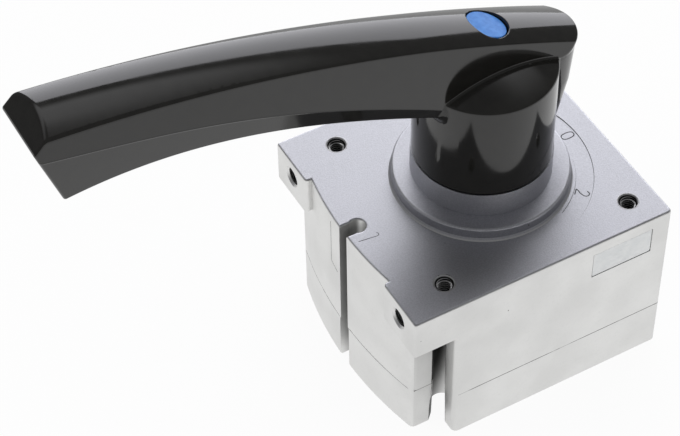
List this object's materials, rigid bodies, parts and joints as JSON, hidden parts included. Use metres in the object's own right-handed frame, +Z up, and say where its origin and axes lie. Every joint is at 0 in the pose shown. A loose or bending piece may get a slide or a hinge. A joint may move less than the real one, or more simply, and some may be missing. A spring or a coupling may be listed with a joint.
{
  "type": "hand lever valve",
  "caption": "Pneumatic rotary disc valve with a raised hand lever, square cast housing, marked dial and ports in its underside.",
  "frame": {"origin": "spindle axis at the underside of the base", "axes": "+Z up along the spindle, +X toward the dial's middle mark, away from the lever's handle at rest"},
  "size_m": [0.1595, 0.073, 0.1379],
  "materials": {
    "cast_body": "fine blasted top, brushed sides",
    "seal_rubber": "matt",
    "screw_steel": "zinc plated",
    "seat_polymer": "smooth",
    "disc_polymer": "lapped face",
    "spring_steel": "drawn wire",
    "driver_alloy": "machined",
    "pin_steel": "ground",
    "ring_steel": "hardened",
    "spindle_steel": "ground",
    "bush_bronze": "sintered",
    "lever_black": "glossy moulded",
    "cap_blue": "satin",
    "label_silver": "satin foil"
  },
  "bodies": {
    "valve_body": {"upper_housing": "cast_body", "base_housing": "cast_body", "housing_gasket": "seal_rubber", "housing_screws": "screw_steel", "port_seats": "seat_polymer", "index_ring": "ring_steel", "stop_pins": "pin_steel", "thrust_washer": "seat_polymer", "lower_bush": "bush_bronze", "upper_bush": "bush_bronze", "spindle_seals": "seal_rubber", "retaining_ring": "spring_steel", "label_plate": "label_silver"},
    "rotor": {"lever": "lever_black", "spindle": "spindle_steel", "lever_screw": "screw_steel", "lever_washer": "screw_steel", "cap_disc": "cap_blue", "driver": "driver_alloy", "control_disc": "disc_polymer", "disc_spring": "spring_steel", "detent_spring_front": "spring_steel", "detent_spring_rear": "spring_steel"},
    "plunger_front": {"detent_plunger_front": "pin_steel"},
    "plunger_rear": {"detent_plunger_rear": "pin_steel"}
  },
  "joints": [
    {"name": "lever_turn", "type": "hinge", "parent": "valve_body", "child": "rotor", "pos_m": [0, 0, 0], "axis": [0, 0, 1], "range_deg": [-45, 45]},
    {"name": "detent_front", "type": "slide", "parent": "rotor", "child": "plunger_front", "axis": [-1, 0, 0], "range_m": [0, 0.0009], "stiffness_N_per_m": 2500, "springref_m": -0.002, "deforming": ["detent_spring_front"]},
    {"name": "detent_rear", "type": "slide", "parent": "rotor", "child": "plunger_rear", "axis": [1, 0, 0], "range_m": [0, 0.0009], "stiffness_N_per_m": 2500, "springref_m": -0.002, "deforming": ["detent_spring_rear"]}
  ]
}
